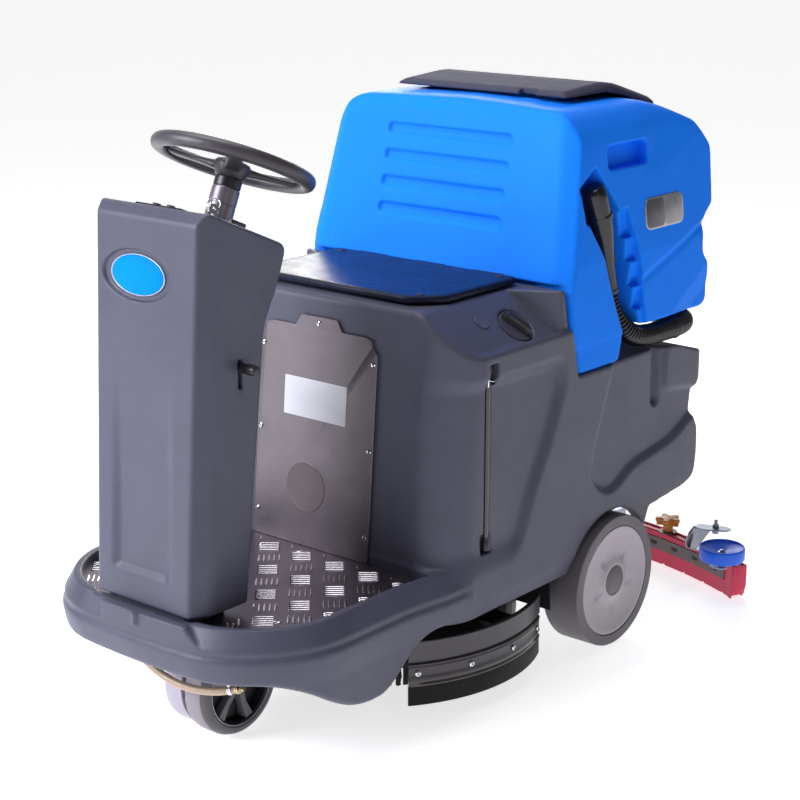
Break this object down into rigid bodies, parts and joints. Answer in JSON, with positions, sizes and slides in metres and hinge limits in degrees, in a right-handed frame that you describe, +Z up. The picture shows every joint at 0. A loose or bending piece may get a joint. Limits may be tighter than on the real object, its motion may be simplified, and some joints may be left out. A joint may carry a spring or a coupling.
{
  "type": "ride-on floor scrubber",
  "caption": "Compact ride-on floor scrubber with a front steering column, driven front wheel, brush deck, battery seat box, rear recovery tank and curved squeegee.",
  "frame": {"origin": "on the floor under the middle of the machine: the bottom centre of its bounding box", "axes": "+Z up, +Y along its length from the front bumper towards the squeegee, +X across it towards the operator's left, seated and facing the front (-Y)"},
  "size_m": [0.92, 1.54, 1.151],
  "materials": {
    "slate": "moulded slate-grey polyethylene with a fine grain",
    "blue": "bright blue moulded polyethylene, satin",
    "emblem_blue": "smooth blank blue oval",
    "lid_grey": "dark grey moulded plastic",
    "black_plastic": "black moulded plastic",
    "hose_black": "black corrugated hose",
    "steel": "brushed stainless steel",
    "tread_aluminium": "five-bar tread plate",
    "badge": "blank printed plate",
    "zinc": "zinc-plated steel",
    "frame_paint": "black painted steel",
    "motor_grey": "pale grey motor housing",
    "tyre": "grey non-marking rubber",
    "hub": "mauve-grey moulded wheel",
    "skirt_rubber": "black band and rubber skirt",
    "bristle": "black brush",
    "crimson_paint": "crimson painted channel",
    "crimson_rubber": "crimson polyurethane blade",
    "amber": "amber knob",
    "roller_blue": "blue bumper roller",
    "clear_tube": "clear level tube over a dark groove",
    "tan_hose": "tan water hose",
    "battery": "battery case"
  },
  "bodies": {
    "chassis": {"main_body": "slate", "column_cover": "slate", "column_emblem": "emblem_blue", "dash_panel": "black_plastic", "chassis_frame": "frame_paint", "rear_axle": "steel", "deck_lift_actuator": "frame_paint", "recovery_tank": "blue", "badge_plate": "badge", "drain_cuff": "black_plastic", "drain_port": "black_plastic", "drain_hose": "hose_black", "water_hose": "tan_hose", "tread_plate": "tread_aluminium", "access_panel": "steel", "seat_lid_hinge": "frame_paint", "level_tube": "clear_tube", "battery_left": "battery", "battery_right": "battery", "vacuum_motor": "frame_paint", "solution_pump": "frame_paint", "motor_controller": "frame_paint"},
    "steering": {"steering_wheel": "black_plastic", "steering_shaft": "steel"},
    "lower_shaft": {"lower_shaft": "steel"},
    "fork": {"steering_fork": "frame_paint", "drive_motor": "motor_grey"},
    "drive_wheel": {"drive_tyre": "tyre", "drive_hub": "frame_paint"},
    "rear_wheel_left": {"rear_tyre_left": "tyre", "rear_hub_left": "hub"},
    "rear_wheel_right": {"rear_tyre_right": "tyre", "rear_hub_right": "hub"},
    "deck": {"brush_deck": "frame_paint", "brush_motor": "frame_paint", "skirt_left": "skirt_rubber", "skirt_right": "skirt_rubber"},
    "brush": {"brush_disc": "bristle"},
    "seat_lid": {"seat_lid": "black_plastic"},
    "tank_lid": {"tank_lid": "lid_grey"},
    "swivel": {"squeegee_swivel": "frame_paint"},
    "squeegee": {"squeegee_arm": "zinc", "squeegee_body": "crimson_paint", "squeegee_front_blade": "crimson_rubber", "squeegee_rear_blade": "crimson_rubber", "squeegee_front_strap": "steel", "squeegee_rear_strap": "steel", "suction_spigot": "black_plastic", "roller_bracket_left": "zinc", "roller_bracket_right": "zinc"},
    "end_roller_left": {"end_roller_left": "roller_blue"},
    "end_roller_right": {"end_roller_right": "roller_blue"},
    "star_knob_left": {"star_knob_left": "amber"},
    "star_knob_right": {"star_knob_right": "amber"},
    "lift_lever": {"lift_lever": "black_plastic"},
    "key_switch": {"key_switch": "steel"},
    "brush_button": {"brush_button": "steel"},
    "vacuum_button": {"vacuum_button": "steel"},
    "pedal": {"accelerator_pedal": "black_plastic"},
    "fill_cap": {"fill_cap": "black_plastic"}
  },
  "joints": [
    {"name": "fork_steer", "type": "hinge", "parent": "chassis", "child": "fork", "pos_m": [0, -0.55, 0.1], "axis": [0, 0, 1], "range_deg": [-60, 60]},
    {"name": "steering_wheel_turn", "type": "hinge", "parent": "chassis", "child": "steering", "pos_m": [0, -0.475, 1.0635], "axis": [0, 0.4067, 0.9135], "range_deg": [-120, 120]},
    {"name": "lower_shaft_turn", "type": "hinge", "parent": "chassis", "child": "lower_shaft", "pos_m": [0, -0.63, 0.25], "axis": [0, 0, 1], "range_deg": [-120, 120]},
    {"name": "drive_wheel_spin", "type": "hinge", "parent": "fork", "child": "drive_wheel", "pos_m": [0, -0.55, 0.1], "axis": [1, 0, 0], "continuous": true},
    {"name": "rear_wheel_left_spin", "type": "hinge", "parent": "chassis", "child": "rear_wheel_left", "pos_m": [0.314, 0.257, 0.14], "axis": [1, 0, 0], "continuous": true},
    {"name": "rear_wheel_right_spin", "type": "hinge", "parent": "chassis", "child": "rear_wheel_right", "pos_m": [-0.314, 0.257, 0.14], "axis": [1, 0, 0], "continuous": true},
    {"name": "deck_lift", "type": "slide", "parent": "chassis", "child": "deck", "axis": [0, 0, 1], "range_m": [-0.03, 0]},
    {"name": "brush_spin", "type": "hinge", "parent": "deck", "child": "brush", "pos_m": [0, -0.1, 0.09], "axis": [0, 0, 1], "continuous": true},
    {"name": "seat_lid_open", "type": "hinge", "parent": "chassis", "child": "seat_lid", "pos_m": [0, 0.0765, 0.7925], "axis": [-1, 0, 0], "range_deg": [0, 80]},
    {"name": "tank_lid_open", "type": "hinge", "parent": "chassis", "child": "tank_lid", "pos_m": [0, 0.563, 1.0665], "axis": [-1, 0, 0], "range_deg": [0, 85]},
    {"name": "squeegee_swing", "type": "hinge", "parent": "chassis", "child": "swivel", "pos_m": [0, 0.48, 0.2], "axis": [0, 0, 1], "range_deg": [-12, 12]},
    {"name": "squeegee_lift", "type": "hinge", "parent": "swivel", "child": "squeegee", "pos_m": [0, 0.535, 0.195], "axis": [1, 0, 0], "range_deg": [0, 9]},
    {"name": "end_roller_left_spin", "type": "hinge", "parent": "squeegee", "child": "end_roller_left", "pos_m": [0.41, 0.603, 0.115], "axis": [0, 0, 1], "continuous": true},
    {"name": "end_roller_right_spin", "type": "hinge", "parent": "squeegee", "child": "end_roller_right", "pos_m": [-0.41, 0.603, 0.115], "axis": [0, 0, 1], "continuous": true},
    {"name": "star_knob_left_turn", "type": "hinge", "parent": "squeegee", "child": "star_knob_left", "pos_m": [0.195, 0.72595, 0.1], "axis": [0, 0, 1], "range_deg": [0, 180]},
    {"name": "star_knob_right_turn", "type": "hinge", "parent": "squeegee", "child": "star_knob_right", "pos_m": [-0.195, 0.72595, 0.1], "axis": [0, 0, 1], "range_deg": [-180, 0]},
    {"name": "lift_lever_swing", "type": "hinge", "parent": "chassis", "child": "lift_lever", "pos_m": [0.122, -0.577, 0.727], "axis": [1, 0, 0], "range_deg": [0, 34]},
    {"name": "key_turn", "type": "hinge", "parent": "chassis", "child": "key_switch", "pos_m": [0.085, -0.625, 0.99076], "axis": [0, -0.3978, -0.9175], "range_deg": [0, 90]},
    {"name": "brush_button_press", "type": "slide", "parent": "chassis", "child": "brush_button", "axis": [0, -0.3978, -0.9175], "range_m": [0, 0.003], "stiffness_N_per_m": 1200, "springref_m": -0.0005},
    {"name": "vacuum_button_press", "type": "slide", "parent": "chassis", "child": "vacuum_button", "axis": [0, -0.3978, -0.9175], "range_m": [0, 0.003], "stiffness_N_per_m": 1200, "springref_m": -0.0005},
    {"name": "pedal_press", "type": "hinge", "parent": "chassis", "child": "pedal", "pos_m": [-0.19, -0.375, 0.292], "axis": [1, 0, 0], "range_deg": [0, 16], "stiffness_Nm_per_rad": 2, "springref_deg": -11.46},
    {"name": "fill_cap_turn", "type": "hinge", "parent": "chassis", "child": "fill_cap", "pos_m": [0.3, -0.028, 0.7295], "axis": [0.6402, 0, 0.7682], "range_deg": [0, 90]}
  ],
  "couplings": [
    {"joint": "steering_wheel_turn", "follows": "fork_steer", "ratio": 2},
    {"joint": "lower_shaft_turn", "follows": "fork_steer", "ratio": 2}
  ]
}
